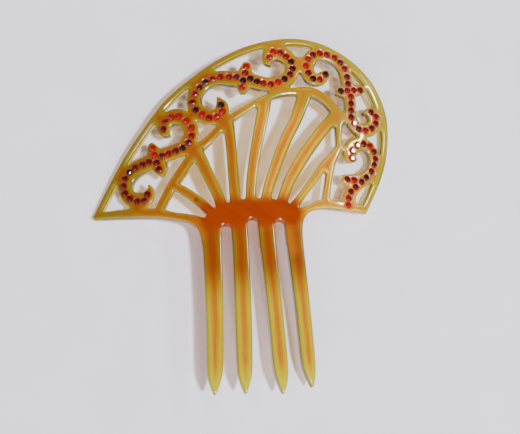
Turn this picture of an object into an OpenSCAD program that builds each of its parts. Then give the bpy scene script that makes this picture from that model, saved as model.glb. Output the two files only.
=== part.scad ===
// Decorative hair comb: one fan-shaped sheet of amber celluloid with four long teeth,
// pierced with four scrolls and set with rows of small round stones.
//
// The sheet is drawn flat, in millimetres: u runs to the right, v runs from the teeth
// (v = -59) through the hub (v = 0) to the top of the rim (v = 70). The flat drawing is
// then laid on a cylinder whose axis leans a little from the teeth. The part stands on
// z = 0 with its decorated, convex face up.

/* [Sheet] */
// Thickness of the celluloid sheet
sheet_t = 2.8; // [2.2:0.1:3.4]
// Radius of the bent sheet's outer face
bend_r = 125; // [110:5:160]
// Lean of the bend's axis from the line of the teeth, in degrees
bend_lean = 15; // [10:1:20]

/* [Stones] */
// Diameter of a stone at its girdle
stone_d = 2.4; // [2.1:0.1:2.5]
// Width of a stone's flat top as a share of its diameter
table_share = 0.58; // [0.5:0.02:0.7]
// Height of a stone's crown above the sheet
crown_h = 0.5; // [0.3:0.05:0.7]
// Height of the straight girdle, which is sunk in the sheet
girdle_h = 0.3; // [0.2:0.05:0.4]
// Depth of the pointed back below the girdle
back_h = 1.1; // [0.9:0.05:1.3]
// Thickness of the foil on the back of each stone
foil_t = 0.1; // [0.06:0.02:0.14]
// Depth of the cement under each stone's point
cement_h = 0.3; // [0.2:0.05:0.35]

/* [Hidden] */

$fn = 32;
crown_u = -5;          // where the highest line of the bend crosses v = 0
fine = 2;              // steps between two points of a curved band
seam = 0.001;          // closes hairline gaps where bands of the pattern cross
inner_r = bend_r - sheet_t;
table_d = stone_d * table_share;
tip_d = 0.5;           // flat at the bottom of a stone's back
cement_d = 1.4;        // diameter of the cement at the bottom of the seat
overcut = 1;           // how far a cutting shape stands clear of the face it cuts

// ---- bands of the flat drawing: rows of [u, v, half width] along the middle ----

rim = [[-54.6, 8.7, 1.2], [-48.1, 19.5, 1.2], [-42, 29.2, 1.2], [-34.3, 39.1, 1.2],
    [-25.5, 48.9, 1.2], [-14.4, 57, 1.2], [-4.5, 62.6, 1.2], [5.3, 66.4, 1.3],
    [15.1, 68.3, 1.3], [24.8, 68.4, 1.3], [34.5, 65.7, 1.35], [43.8, 59.8, 1.6],
    [50.8, 52.1, 1.8], [54.8, 43, 1.9], [56, 35, 1.5], [54.7, 25.4, 1.4],
    [51, 15.8, 1.4], [44.3, 4.2, 1.4]];

arch = [[-30.6, 8, 1.7], [-27.9, 13, 1.7], [-25.1, 17.2, 1.9], [-20.2, 23.6, 1.9],
    [-15.5, 29.2, 1.8], [-9.7, 34, 1.6], [-4.3, 38.9, 1.5], [2.8, 43.3, 1.3],
    [9.5, 46.6, 1.3], [16, 48.9, 1.3], [22, 49.4, 1.5], [28, 48.9, 1.9],
    [32.4, 46.6, 1.9], [35.6, 43.2, 1.8], [37.7, 39.6, 2.4], [37.3, 36, 1.4],
    [36.9, 31, 1.1], [36.6, 28.4, 1.2], [35, 25.6, 1.5], [33.6, 23, 1.5],
    [32.8, 20.5, 1.4], [31.3, 14.5, 1.3], [29.8, 8, 1.4]];

left_bar = [[-54.9, 9.6, 1.2], [-50, 9.3, 1.4], [-40, 8.4, 1.8], [-31, 7.1, 1.8],
    [-25, 5.4, 1.5], [-20, 4, 1.7], [-15, 1.4, 2.4]];

right_bar = [[26.2, 6.7, 1.6], [30, 7.1, 1.7], [34.8, 6.7, 1.7], [41, 6, 1.7], [44.6, 5.2, 1.5]];

spokes = [
    [[-26, 17.2, 1.6], [-22, 15, 1.65], [-16.5, 10.4, 1.75], [-11.5, 5, 1.7]],
    [[-15.3, 28, 2.3], [-12, 19, 2.1], [-9.4, 12, 2], [-7.8, 6, 2.2]],
    [[-3.6, 39, 2.1], [-3.3, 30, 1.95], [-3.3, 20, 1.95], [-3.3, 8, 1.95]],
    [[10.4, 46.5, 2.4], [8.4, 38.5, 2.3], [5.4, 27.5, 2.05], [3.3, 18, 1.85], [2, 8, 1.85]],
    [[25.2, 48, 2.6], [21.3, 39, 2.2], [17.8, 33, 2.2], [14.5, 26.6, 2.15], [11.6, 20, 2.05],
        [9.1, 14, 1.9], [7.2, 8, 1.8]],
    [[37, 40.5, 2.4], [32.2, 36, 2.2], [28.8, 32.2, 2.2], [23.5, 25.7, 2.3], [18.5, 18.5, 2.2],
        [15.8, 13.8, 2], [12.9, 7, 2]],
    [[34.8, 25.5, 1.6], [32, 23, 1.6], [29.6, 20.6, 1.5], [26.9, 17.3, 1.45], [24, 13.9, 1.4],
        [21.2, 10.6, 1.35], [17.6, 6.4, 1.7]]];

scrolls = [
    [[-25.1, 36.1, 0.3], [-26.8, 37.6, 2], [-27.2, 40.4, 2.7], [-25.2, 42.6, 2.8],
        [-22.3, 43.1, 3.1], [-19, 41.2, 2.8], [-17.4, 37.6, 2.8], [-17.9, 34, 2.8],
        [-20.6, 30.9, 2.7], [-24.5, 29.5, 2.8], [-29, 28.6, 2.8], [-34, 26.6, 3],
        [-38.6, 24.9, 3], [-42, 21.8, 3], [-42.6, 18, 2.6], [-41, 14.6, 2.7],
        [-37.5, 12.9, 3.1], [-34.5, 13.7, 2.6], [-33.4, 16.5, 1.3], [-34, 18.6, 0.2]],
    [[13.6, 59.7, 0.3], [12.6, 61.4, 1.8], [13.4, 63.9, 2.6], [15.9, 64.6, 2.8],
        [18.9, 63.6, 2.8], [21.1, 61, 2.7], [21.3, 57.7, 2.6], [19.8, 54.7, 2.6],
        [16.6, 53, 2.6], [12.6, 52.4, 2.6], [8.6, 53.3, 2.7], [4, 54.9, 2.8],
        [-1, 55.5, 2.9], [-6, 56.3, 2.7], [-10.2, 55.4, 2.8], [-13.5, 52.9, 2.8],
        [-15.1, 49.4, 2.8], [-15, 45.6, 2.8], [-12.5, 42.5, 2.9], [-8.8, 41.3, 2.9],
        [-5.8, 42.8, 2.6], [-5.6, 45.7, 2.2], [-6.9, 48.9, 0.3]],
    [[34.9, 57.2, 0.5], [33.4, 55.5, 2], [31.3, 54, 2.3], [28.7, 54.4, 2.5],
        [27.1, 56.8, 2.6], [27.4, 59.9, 2.7], [29.3, 62.6, 2.6], [32.6, 63.7, 2.4],
        [36, 62.9, 2.3], [39.2, 60.9, 2.2], [41.2, 57.6, 2.1], [41.9, 53.4, 2.2],
        [42.3, 49, 2.3], [42.6, 45, 2.3], [42.4, 41, 2.2], [43.3, 37.3, 2.3],
        [46.2, 35, 2.5], [50, 35.5, 2.7], [52.2, 38.3, 2.6], [51.2, 41.1, 2.3],
        [49.2, 41.9, 1.4], [47.5, 41.4, 0.3]],
    [[43.3, 23.3, 0.6], [41, 25, 2.6], [42.2, 28.6, 2.9], [46, 29.8, 2.4],
        [49.2, 28.2, 2.2], [50.6, 24.8, 2.1], [50, 21.2, 2.1], [47.9, 18.3, 2.3],
        [45, 16, 2.5], [42, 13.9, 2.6], [39.8, 11, 2.6], [38.7, 7.8, 2.7], [38.4, 6.4, 2]]];

cross_bars = [
    [[-32.4, 34.2, 0.7], [-31.5, 31, 2.6], [-30.3, 27, 3.4], [-29, 23.5, 2.6], [-28.2, 20.9, 0.8]],
    [[4.7, 61.5, 1], [4, 57.5, 2.8], [3.2, 53.8, 3], [2.6, 50.9, 1.9], [2.5, 49.5, 0.8]],
    [[37.2, 49.3, 1.1], [39.5, 49.3, 1.9], [42.2, 49.6, 2.9], [45, 50.1, 2.3], [47.1, 50.2, 1.9],
        [48.8, 50.3, 0.9]],
    [[37.1, 17.1, 1.2], [39.2, 16.2, 2.1], [42, 15.8, 2.6], [45, 16.4, 2.2]]];

// Fillings where neighbouring bands touch
webs = [
    [[24.1, 62.6, 1.3], [24, 59, 0.8], [23.9, 56.4, 0.8]],
    [[39.9, 41.6, 0.8], [40.2, 37.2, 0.8]],
    [[-28.6, 43.6, 1.2], [-30.6, 41, 1]]];

teeth = [
    [[-12.6, 2, 3.6], [-12.7, -8, 3.4], [-13.5, -30, 3], [-14.6, -48, 2.8], [-15.2, -54, 2],
        [-15.5, -58.4, 0.3]],
    [[-2.65, 2, 2.95], [-2.7, -8, 2.9], [-3.5, -30, 2.9], [-4.4, -48, 2.7], [-4.7, -54, 2],
        [-4.8, -58.6, 0.3]],
    [[6.9, 2, 3], [7.1, -8, 2.9], [7.8, -30, 2.65], [8.2, -48, 2.65], [8.4, -54.5, 2],
        [8.5, -59.4, 0.3]],
    [[16.8, 2, 3.3], [17, -8, 3], [18, -30, 2.7], [18.5, -47, 2.6], [19, -53, 1.9],
        [19.4, -57.7, 0.3]]];

// The hub: its upper edge runs over the feet of the spokes, and two curved
// shoulders lead from the outer teeth into the left and right bars
hub_top = [[-17.5, 2], [-15.5, 3.6], [-10.3, 6.8], [-5.1, 9], [0, 9.8], [5, 9.9], [10.4, 9.3],
    [15.3, 7.8], [19.3, 5.4], [23.4, 6.9], [26.3, 8.3], [29, 8.8]];
right_shoulder = [[29, 5.4], [26, 5.1], [23.4, 4.1], [21.6, 2.5], [20.6, 0.4], [20.1, -2.5],
    [19.9, -7]];
left_shoulder = [[-16.1, -8], [-16.5, -3.5], [-17.3, -0.3], [-19.3, 2.2], [-22.5, 3.6],
    [-26.5, 4.2]];

// Slots between the teeth, each round at the top
slots = [
    [[-7.35, -1.2, 1.75], [-7.4, -9, 1.9]],
    [[2.15, 0.3, 1.9], [2.1, -9, 1.95]],
    [[11.75, -0.7, 1.85], [11.9, -9, 1.9]]];

// ---- rows of stones: [u, v, number of spacings to the next point] ----

head_rows = [
    [[-27.3, 38.7, 1], [-26.5, 41.5, 1], [-24.1, 43, 1], [-21.4, 43, 1], [-18.8, 40.8, 1],
        [-17.1, 37.9, 1], [-17.2, 34.7, 1], [-18.5, 32.3, 1], [-20.7, 30.6, 2], [-26, 29.1, 1], [-28.5, 28.5, 0]],
    [[13.3, 62.7, 1], [14.9, 64.8, 1], [17.5, 64.4, 2], [21.1, 60.7, 1], [21.4, 58.1, 1],
        [20.3, 55.8, 1], [18.1, 54.1, 2], [12.9, 52.3, 2], [7.9, 53.6, 1], [5.6, 54.8, 0]],
    [[33.7, 55.7, 1], [31.5, 53.8, 1], [28.8, 54.1, 1], [27.2, 56.3, 1], [26.6, 59, 1],
        [27.6, 61.6, 1], [29.6, 63.3, 1], [32.2, 63.9, 2], [37.8, 62.3, 2], [41.4, 58.1, 2], [42.2, 52.3, 0]],
    [[41.3, 24, 1], [41.8, 26.8, 1], [43.9, 28.9, 1], [46.6, 29.6, 1], [49.1, 28.9, 1],
        [50.6, 26.8, 1], [51, 24.2, 2], [48.9, 19.4, 2], [44.6, 15.4, 0]]];

bar_rows = [
    [[-31.6, 32, 1], [-31.2, 29.2, 2], [-29.8, 23.5, 0]],
    [[4.6, 59.7, 1], [3.9, 57.1, 1], [2.9, 54.3, 1], [2.4, 51.7, 0]],
    [[39, 49.4, 1], [41.6, 49.7, 1], [44.3, 49.9, 1], [46.9, 50, 0]],
    [[38.7, 16.2, 1], [41.5, 16, 0]]];

tail_rows = [
    [[-33.3, 26.9, 2], [-38.5, 25.5, 1], [-40.8, 24.1, 1], [-42.6, 21.9, 1], [-43.2, 19.2, 1],
        [-42.7, 16.3, 1], [-41, 14, 1], [-38.4, 12.6, 1], [-35.8, 12.4, 1], [-34.5, 14.7, 0]],
    [[0.6, 55.8, 2], [-5.3, 56.5, 2], [-10.8, 54.9, 1], [-13.1, 53.1, 1], [-15.1, 50.8, 1],
        [-16.2, 47.6, 1], [-15.1, 44.6, 2], [-10.4, 41, 1], [-7.7, 41.2, 1], [-5.5, 42.9, 1],
        [-5.8, 45.5, 0]],
    [[42.9, 47.4, 1], [42.7, 44.8, 2], [42.4, 39.6, 1], [43.3, 37.2, 1], [45, 35.2, 1],
        [47.7, 34.7, 1], [50.4, 35.7, 1], [52.3, 37.6, 1], [52.7, 40.2, 1], [50.7, 41.8, 0]],
    [[41.9, 13.4, 1], [39.8, 11.6, 1], [38.7, 9.2, 1], [38.4, 6.6, 0]]];

// ---- curves ----

// Point at share t of the way from b to c on a smooth line through a, b, c and d
function between(a, b, c, d, t) =
    0.5 * (2 * b + (c - a) * t + (2 * a - 5 * b + 4 * c - d) * t * t
        + (3 * b - a - 3 * c + d) * t * t * t);

function row_at(rows, i) = rows[max(0, min(len(rows) - 1, i))];

// Point at share t of the way from row i to the next one
function on_line(rows, i, t) =
    between(row_at(rows, i - 1), rows[i], rows[i + 1], row_at(rows, i + 2), t);

// A smooth line through the rows, with n steps between two of them
function smooth(rows, n) = [
    for (i = [0 : len(rows) - 2], k = [0 : n - 1]) on_line(rows, i, k / n),
    rows[len(rows) - 1]];

function flat(p) = [p[0], p[1]];
function unit(p) = p / norm(p);

// Unit vector to the left of the line at point i
function left_of(line, i) =
    let (d = unit(flat(row_at(line, i + 1)) - flat(row_at(line, i - 1)))) [-d[1], d[0]];

// Outline of a band that follows a line of [u, v, half width]
function band_outline(line) = concat(
    [for (i = [0 : len(line) - 1]) flat(line[i]) + line[i][2] * left_of(line, i)],
    [for (i = [len(line) - 1 : -1 : 0]) flat(line[i]) - line[i][2] * left_of(line, i)]);

// ---- the bend ----

function turned(p, a) = [p[0] * cos(a) - p[1] * sin(a), p[0] * sin(a) + p[1] * cos(a)];

// Place of a flat point across the bend and along it
function across(p) = turned([p[0] - crown_u, p[1]], bend_lean);

// Angle around the bend's axis of a flat point, in degrees
function bend_angle(p) = across(p)[0] / bend_r * 180 / PI;

// The flat point seen from above, once the sheet is bent
function above(p) =
    let (q = across(p)) turned([bend_r * sin(bend_angle(p)), q[1]], -bend_lean);

rim_above = [for (p = band_outline(smooth(rim, fine))) above(p)];
tips_above = [for (t = teeth) above([t[5][0], t[5][1] - t[5][2]])];
x_mid = (min([for (p = rim_above) p[0]]) + max([for (p = rim_above) p[0]])) / 2;
y_mid = (max([for (p = rim_above) p[1]]) + min([for (p = tips_above) p[1]])) / 2;

// The sheet's lowest edge lies on z = 0
reach = max([for (p = rim_above) abs(turned(p, bend_lean)[0])]);
axis_z = -sqrt(inner_r * inner_r - reach * reach);

function placed(p) = above(p) - [x_mid, y_mid];

// ---- shapes ----

module band(rows) {
    polygon([for (p = band_outline(smooth(rows, fine))) placed(p)]);
}

module hub() {
    edge = concat(hub_top, smooth(right_shoulder, fine), smooth(left_shoulder, fine));
    difference() {
        polygon([for (p = edge) placed(p)]);
        for (s = slots) {
            translate(placed(s[0]))
                circle(r = s[0][2]);
            polygon([for (p = band_outline(s)) placed(p)]);
        }
    }
}

// The whole pierced pattern as it is seen from above
module pattern() {
    offset(delta = seam)
        union() {
            band(rim);
            band(arch);
            band(left_bar);
            band(right_bar);
            hub();
            for (rows = concat(spokes, scrolls, cross_bars, webs, teeth)) band(rows);
        }
}

// Turns a shape about the bend's axis so that its z axis leaves the sheet at flat point p
module on_sheet(p) {
    q = across(p);
    translate([-x_mid, -y_mid, axis_z])
        rotate([0, 0, -bend_lean])
            translate([0, q[1], 0])
                rotate([0, bend_angle(p), 0])
                    translate([0, 0, bend_r])
                        children();
}

// Flat places of a row's stones
function stone_places(row) = [
    for (i = [0 : len(row) - 2], k = [0 : row[i][2] - 1]) on_line(row, i, k / row[i][2]),
    row[len(row) - 1]];

module stone() {
    rotate_extrude()
        polygon([[0, crown_h], [table_d / 2, crown_h], [stone_d / 2, 0], [stone_d / 2, -girdle_h],
            [tip_d / 2, -girdle_h - back_h], [0, -girdle_h - back_h]]);
}

// Conical foil cup that clads the stone's back
module foil() {
    top = -girdle_h;
    bottom = -girdle_h - back_h;
    rotate_extrude()
        polygon([[stone_d / 2, top], [tip_d / 2, bottom], [0, bottom], [0, bottom - foil_t],
            [tip_d / 2, bottom - foil_t], [stone_d / 2, top - foil_t]]);
}

// Seat for one stone: straight at the girdle, then a cone with a flat bottom
module seat() {
    foil_bottom = -girdle_h - back_h - foil_t;
    rotate_extrude()
        polygon([[0, overcut], [stone_d / 2, overcut], [stone_d / 2, -girdle_h - foil_t],
            [cement_d / 2, foil_bottom], [cement_d / 2, foil_bottom - cement_h],
            [0, foil_bottom - cement_h]]);
}

// Cement between the foil and the bottom of the seat
module cement() {
    foil_bottom = -girdle_h - back_h - foil_t;
    rotate_extrude()
        polygon([[stone_d / 2, -girdle_h - foil_t], [tip_d / 2, foil_bottom], [0, foil_bottom],
            [0, foil_bottom - cement_h], [cement_d / 2, foil_bottom - cement_h],
            [cement_d / 2, foil_bottom]]);
}

// ---- sub-parts ----

module curved_sheet() {
    long = 400;
    translate([-x_mid, -y_mid, axis_z])
        rotate([0, 0, -bend_lean])
            rotate([90, 0, 0])
                difference() {
                    cylinder(r = bend_r, h = long, center = true, $fn = 180);
                    cylinder(r = inner_r, h = long + 2, center = true, $fn = 180);
                }
}

module comb_body() {
    color("goldenrod")
        difference() {
            intersection() {
                linear_extrude(height = bend_r + axis_z + overcut)
                    pattern();
                curved_sheet();
            }
            for (row = concat(head_rows, bar_rows, tail_rows), p = stone_places(row)) {
                on_sheet(p) seat();
            }
        }
}

module stone_row(row) {
    color("crimson")
        for (p = stone_places(row)) on_sheet(p) stone();
}

module foil_row(row) {
    color("silver")
        for (p = stone_places(row)) on_sheet(p) foil();
}

module cement_row(row) {
    color("burlywood")
        for (p = stone_places(row)) on_sheet(p) cement();
}

comb_body();
for (i = [0 : 3]) {
    n = i + 1;
    stone_row(head_rows[i]);
    stone_row(bar_rows[i]);
    stone_row(tail_rows[i]);
    foil_row(head_rows[i]);
    foil_row(bar_rows[i]);
    foil_row(tail_rows[i]);
    cement_row(head_rows[i]);
    cement_row(bar_rows[i]);
    cement_row(tail_rows[i]);
}
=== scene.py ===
import math
import bpy
import numpy as np
from mathutils import Matrix, Vector, kdtree
from mathutils.geometry import delaunay_2d_cdt


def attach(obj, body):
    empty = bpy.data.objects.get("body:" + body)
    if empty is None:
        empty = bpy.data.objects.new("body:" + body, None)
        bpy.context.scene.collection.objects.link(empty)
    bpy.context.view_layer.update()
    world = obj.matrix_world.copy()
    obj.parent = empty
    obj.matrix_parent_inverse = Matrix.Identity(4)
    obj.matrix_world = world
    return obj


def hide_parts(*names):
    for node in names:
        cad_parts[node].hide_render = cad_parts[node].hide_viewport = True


MM = 0.001

# ---- camera: above the comb and a little towards its teeth, looking down on its decorated face ----

AIM = Vector((-0.944, -5.149, 13.934)) * MM         # over the hub, level with the top of the bend
FAR, PITCH, SIDE, ROLL = 430 * MM, math.radians(15), math.radians(5), math.radians(-4.75)
LENS, SHIFT = 85.05, (0.025, 0.0154)


def camera():
    back = Vector((-math.sin(SIDE) * math.cos(PITCH), -math.sin(PITCH), math.cos(SIDE) * math.cos(PITCH)))
    up = (Vector((0, 1, 0)) - back * back.y).normalized()
    right = up.cross(back)
    c, s = math.cos(ROLL), math.sin(ROLL)
    right, up = right * c + up * s, up * c - right * s
    cam = bpy.data.objects.new("camera", bpy.data.cameras.new("camera"))
    m = Matrix((right, up, back)).transposed().to_4x4()
    m.translation = AIM + back * FAR
    cam.matrix_world = m
    cam.data.lens = LENS
    cam.data.shift_x, cam.data.shift_y = SHIFT
    cam.data.clip_start = 0.01
    bpy.context.scene.collection.objects.link(cam)
    bpy.context.scene.camera = cam


camera()
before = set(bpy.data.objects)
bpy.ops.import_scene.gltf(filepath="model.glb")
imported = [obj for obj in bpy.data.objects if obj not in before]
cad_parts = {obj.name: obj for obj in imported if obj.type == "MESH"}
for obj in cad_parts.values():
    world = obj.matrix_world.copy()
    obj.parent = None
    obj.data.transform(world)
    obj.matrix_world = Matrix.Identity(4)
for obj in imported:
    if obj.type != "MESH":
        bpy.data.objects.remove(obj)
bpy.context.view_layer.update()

# ---- the flat drawing, in millimetres: u to the right, v from the teeth to the rim ----
# Each band is rows of [u, v, half width] along its middle.

R, T = 125.0, 2.8                                   # outer radius of the bend, sheet thickness
CROWN_U, LEAN = -5.0, math.radians(15)              # where the bend is highest, lean of its axis

RIM = [[-54.6, 8.7, 1.2], [-48.1, 19.5, 1.2], [-42, 29.2, 1.2], [-34.3, 39.1, 1.2],
    [-25.5, 48.9, 1.2], [-14.4, 57, 1.2], [-4.5, 62.6, 1.2], [5.3, 66.4, 1.3],
    [15.1, 68.3, 1.3], [24.8, 68.4, 1.3], [34.5, 65.7, 1.35], [43.8, 59.8, 1.6],
    [50.8, 52.1, 1.8], [54.8, 43, 1.9], [56, 35, 1.5], [54.7, 25.4, 1.4],
    [51, 15.8, 1.4], [44.3, 4.2, 1.4]]

ARCH = [[-30.6, 8, 1.7], [-27.9, 13, 1.7], [-25.1, 17.2, 1.9], [-20.2, 23.6, 1.9],
    [-15.5, 29.2, 1.8], [-9.7, 34, 1.6], [-4.3, 38.9, 1.5], [2.8, 43.3, 1.3],
    [9.5, 46.6, 1.3], [16, 48.9, 1.3], [22, 49.4, 1.5], [28, 48.9, 1.9],
    [32.4, 46.6, 1.9], [35.6, 43.2, 1.8], [37.7, 39.6, 2.4], [37.3, 36, 1.4],
    [36.9, 31, 1.1], [36.6, 28.4, 1.2], [35, 25.6, 1.5], [33.6, 23, 1.5],
    [32.8, 20.5, 1.4], [31.3, 14.5, 1.3], [29.8, 8, 1.4]]

BOTTOM_BARS = [
    [[-54.9, 9.6, 1.2], [-50, 9.3, 1.4], [-40, 8.4, 1.8], [-31, 7.1, 1.8],
        [-25, 5.4, 1.5], [-20, 4, 1.7], [-15, 1.4, 2.4]],
    [[26.2, 6.7, 1.6], [30, 7.1, 1.7], [34.8, 6.7, 1.7], [41, 6, 1.7], [44.6, 5.2, 1.5]]]

SPOKES = [
    [[-26, 17.2, 1.6], [-22, 15, 1.65], [-16.5, 10.4, 1.75], [-11.5, 5, 1.7]],
    [[-15.3, 28, 2.3], [-12, 19, 2.1], [-9.4, 12, 2], [-7.8, 6, 2.2]],
    [[-3.6, 39, 2.1], [-3.3, 30, 1.95], [-3.3, 20, 1.95], [-3.3, 8, 1.95]],
    [[10.4, 46.5, 2.4], [8.4, 38.5, 2.3], [5.4, 27.5, 2.05], [3.3, 18, 1.85], [2, 8, 1.85]],
    [[25.2, 48, 2.6], [21.3, 39, 2.2], [17.8, 33, 2.2], [14.5, 26.6, 2.15], [11.6, 20, 2.05],
        [9.1, 14, 1.9], [7.2, 8, 1.8]],
    [[37, 40.5, 2.4], [32.2, 36, 2.2], [28.8, 32.2, 2.2], [23.5, 25.7, 2.3], [18.5, 18.5, 2.2],
        [15.8, 13.8, 2], [12.9, 7, 2]],
    [[34.8, 25.5, 1.6], [32, 23, 1.6], [29.6, 20.6, 1.5], [26.9, 17.3, 1.45], [24, 13.9, 1.4],
        [21.2, 10.6, 1.35], [17.6, 6.4, 1.7]]]

SCROLLS = [
    [[-25.1, 36.1, 0.3], [-26.8, 37.6, 2], [-27.2, 40.4, 2.7], [-25.2, 42.6, 2.8],
        [-22.3, 43.1, 3.1], [-19, 41.2, 2.8], [-17.4, 37.6, 2.8], [-17.9, 34, 2.8],
        [-20.6, 30.9, 2.7], [-24.5, 29.5, 2.8], [-29, 28.6, 2.8], [-34, 26.6, 3],
        [-38.6, 24.9, 3], [-42, 21.8, 3], [-42.6, 18, 2.6], [-41, 14.6, 2.7],
        [-37.5, 12.9, 3.1], [-34.5, 13.7, 2.6], [-33.4, 16.5, 1.3], [-34, 18.6, 0.2]],
    [[13.6, 59.7, 0.3], [12.6, 61.4, 1.8], [13.4, 63.9, 2.6], [15.9, 64.6, 2.8],
        [18.9, 63.6, 2.8], [21.1, 61, 2.7], [21.3, 57.7, 2.6], [19.8, 54.7, 2.6],
        [16.6, 53, 2.6], [12.6, 52.4, 2.6], [8.6, 53.3, 2.7], [4, 54.9, 2.8],
        [-1, 55.5, 2.9], [-6, 56.3, 2.7], [-10.2, 55.4, 2.8], [-13.5, 52.9, 2.8],
        [-15.1, 49.4, 2.8], [-15, 45.6, 2.8], [-12.5, 42.5, 2.9], [-8.8, 41.3, 2.9],
        [-5.8, 42.8, 2.6], [-5.6, 45.7, 2.2], [-6.9, 48.9, 0.3]],
    [[34.9, 57.2, 0.5], [33.4, 55.5, 2], [31.3, 54, 2.3], [28.7, 54.4, 2.5],
        [27.1, 56.8, 2.6], [27.4, 59.9, 2.7], [29.3, 62.6, 2.6], [32.6, 63.7, 2.4],
        [36, 62.9, 2.3], [39.2, 60.9, 2.2], [41.2, 57.6, 2.1], [41.9, 53.4, 2.2],
        [42.3, 49, 2.3], [42.6, 45, 2.3], [42.4, 41, 2.2], [43.3, 37.3, 2.3],
        [46.2, 35, 2.5], [50, 35.5, 2.7], [52.2, 38.3, 2.6], [51.2, 41.1, 2.3],
        [49.2, 41.9, 1.4], [47.5, 41.4, 0.3]],
    [[43.3, 23.3, 0.6], [41, 25, 2.6], [42.2, 28.6, 2.9], [46, 29.8, 2.4],
        [49.2, 28.2, 2.2], [50.6, 24.8, 2.1], [50, 21.2, 2.1], [47.9, 18.3, 2.3],
        [45, 16, 2.5], [42, 13.9, 2.6], [39.8, 11, 2.6], [38.7, 7.8, 2.7], [38.4, 6.4, 2]]]

CROSS_BARS = [
    [[-32.4, 34.2, 0.7], [-31.5, 31, 2.6], [-30.3, 27, 3.4], [-29, 23.5, 2.6], [-28.2, 20.9, 0.8]],
    [[4.7, 61.5, 1], [4, 57.5, 2.8], [3.2, 53.8, 3], [2.6, 50.9, 1.9], [2.5, 49.5, 0.8]],
    [[37.2, 49.3, 1.1], [39.5, 49.3, 1.9], [42.2, 49.6, 2.9], [45, 50.1, 2.3], [47.1, 50.2, 1.9],
        [48.8, 50.3, 0.9]],
    [[37.1, 17.1, 1.2], [39.2, 16.2, 2.1], [42, 15.8, 2.6], [45, 16.4, 2.2]]]

WEBS = [
    [[24.1, 62.6, 1.3], [24, 59, 0.8], [23.9, 56.4, 0.8]],
    [[39.9, 41.6, 0.8], [40.2, 37.2, 0.8]],
    [[-28.6, 43.6, 1.2], [-30.6, 41, 1]]]

TEETH = [
    [[-12.6, 2, 3.6], [-12.7, -8, 3.4], [-13.5, -30, 3], [-14.6, -48, 2.8], [-15.2, -54, 2],
        [-15.5, -58.4, 0.3]],
    [[-2.65, 2, 2.95], [-2.7, -8, 2.9], [-3.5, -30, 2.9], [-4.4, -48, 2.7], [-4.7, -54, 2],
        [-4.8, -58.6, 0.3]],
    [[6.9, 2, 3], [7.1, -8, 2.9], [7.8, -30, 2.65], [8.2, -48, 2.65], [8.4, -54.5, 2],
        [8.5, -59.4, 0.3]],
    [[16.8, 2, 3.3], [17, -8, 3], [18, -30, 2.7], [18.5, -47, 2.6], [19, -53, 1.9],
        [19.4, -57.7, 0.3]]]

# The hub's upper edge runs over the feet of the spokes, and two shoulders lead into the bottom bars
HUB_TOP = [[-17.5, 2], [-15.5, 3.6], [-10.3, 6.8], [-5.1, 9], [0, 9.8], [5, 9.9], [10.4, 9.3],
    [15.3, 7.8], [19.3, 5.4], [23.4, 6.9], [26.3, 8.3], [29, 8.8]]
RIGHT_SHOULDER = [[29, 5.4], [26, 5.1], [23.4, 4.1], [21.6, 2.5], [20.6, 0.4], [20.1, -2.5],
    [19.9, -7]]
LEFT_SHOULDER = [[-16.1, -8], [-16.5, -3.5], [-17.3, -0.3], [-19.3, 2.2], [-22.5, 3.6],
    [-26.5, 4.2]]
# The slots between the teeth, each round at the top
SLOTS = [
    [[-7.35, -1.2, 1.75], [-7.4, -9, 1.9]],
    [[2.15, 0.3, 1.9], [2.1, -9, 1.95]],
    [[11.75, -0.7, 1.85], [11.9, -9, 1.9]]]

# Rows of stones: [u, v, spacings to the next point]. Tones run along each row:
# b bright red, r red, d dark garnet, k almost black
HEAD = [
    [[-27.3, 38.7, 1], [-26.5, 41.5, 1], [-24.1, 43, 1], [-21.4, 43, 1], [-18.8, 40.8, 1],
        [-17.1, 37.9, 1], [-17.2, 34.7, 1], [-18.5, 32.3, 1], [-20.7, 30.6, 2], [-26, 29.1, 1],
        [-28.5, 28.5, 0]],
    [[13.3, 62.7, 1], [14.9, 64.8, 1], [17.5, 64.4, 2], [21.1, 60.7, 1], [21.4, 58.1, 1],
        [20.3, 55.8, 1], [18.1, 54.1, 2], [12.9, 52.3, 2], [7.9, 53.6, 1], [5.6, 54.8, 0]],
    [[33.7, 55.7, 1], [31.5, 53.8, 1], [28.8, 54.1, 1], [27.2, 56.3, 1], [26.6, 59, 1],
        [27.6, 61.6, 1], [29.6, 63.3, 1], [32.2, 63.9, 2], [37.8, 62.3, 2], [41.4, 58.1, 2],
        [42.2, 52.3, 0]],
    [[41.3, 24, 1], [41.8, 26.8, 1], [43.9, 28.9, 1], [46.6, 29.6, 1], [49.1, 28.9, 1],
        [50.6, 26.8, 1], [51, 24.2, 2], [48.9, 19.4, 2], [44.6, 15.4, 0]]]
BAR = [
    [[-31.6, 32, 1], [-31.2, 29.2, 2], [-29.8, 23.5, 0]],
    [[4.6, 59.7, 1], [3.9, 57.1, 1], [2.9, 54.3, 1], [2.4, 51.7, 0]],
    [[39, 49.4, 1], [41.6, 49.7, 1], [44.3, 49.9, 1], [46.9, 50, 0]],
    [[38.7, 16.2, 1], [41.5, 16, 0]]]
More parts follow.
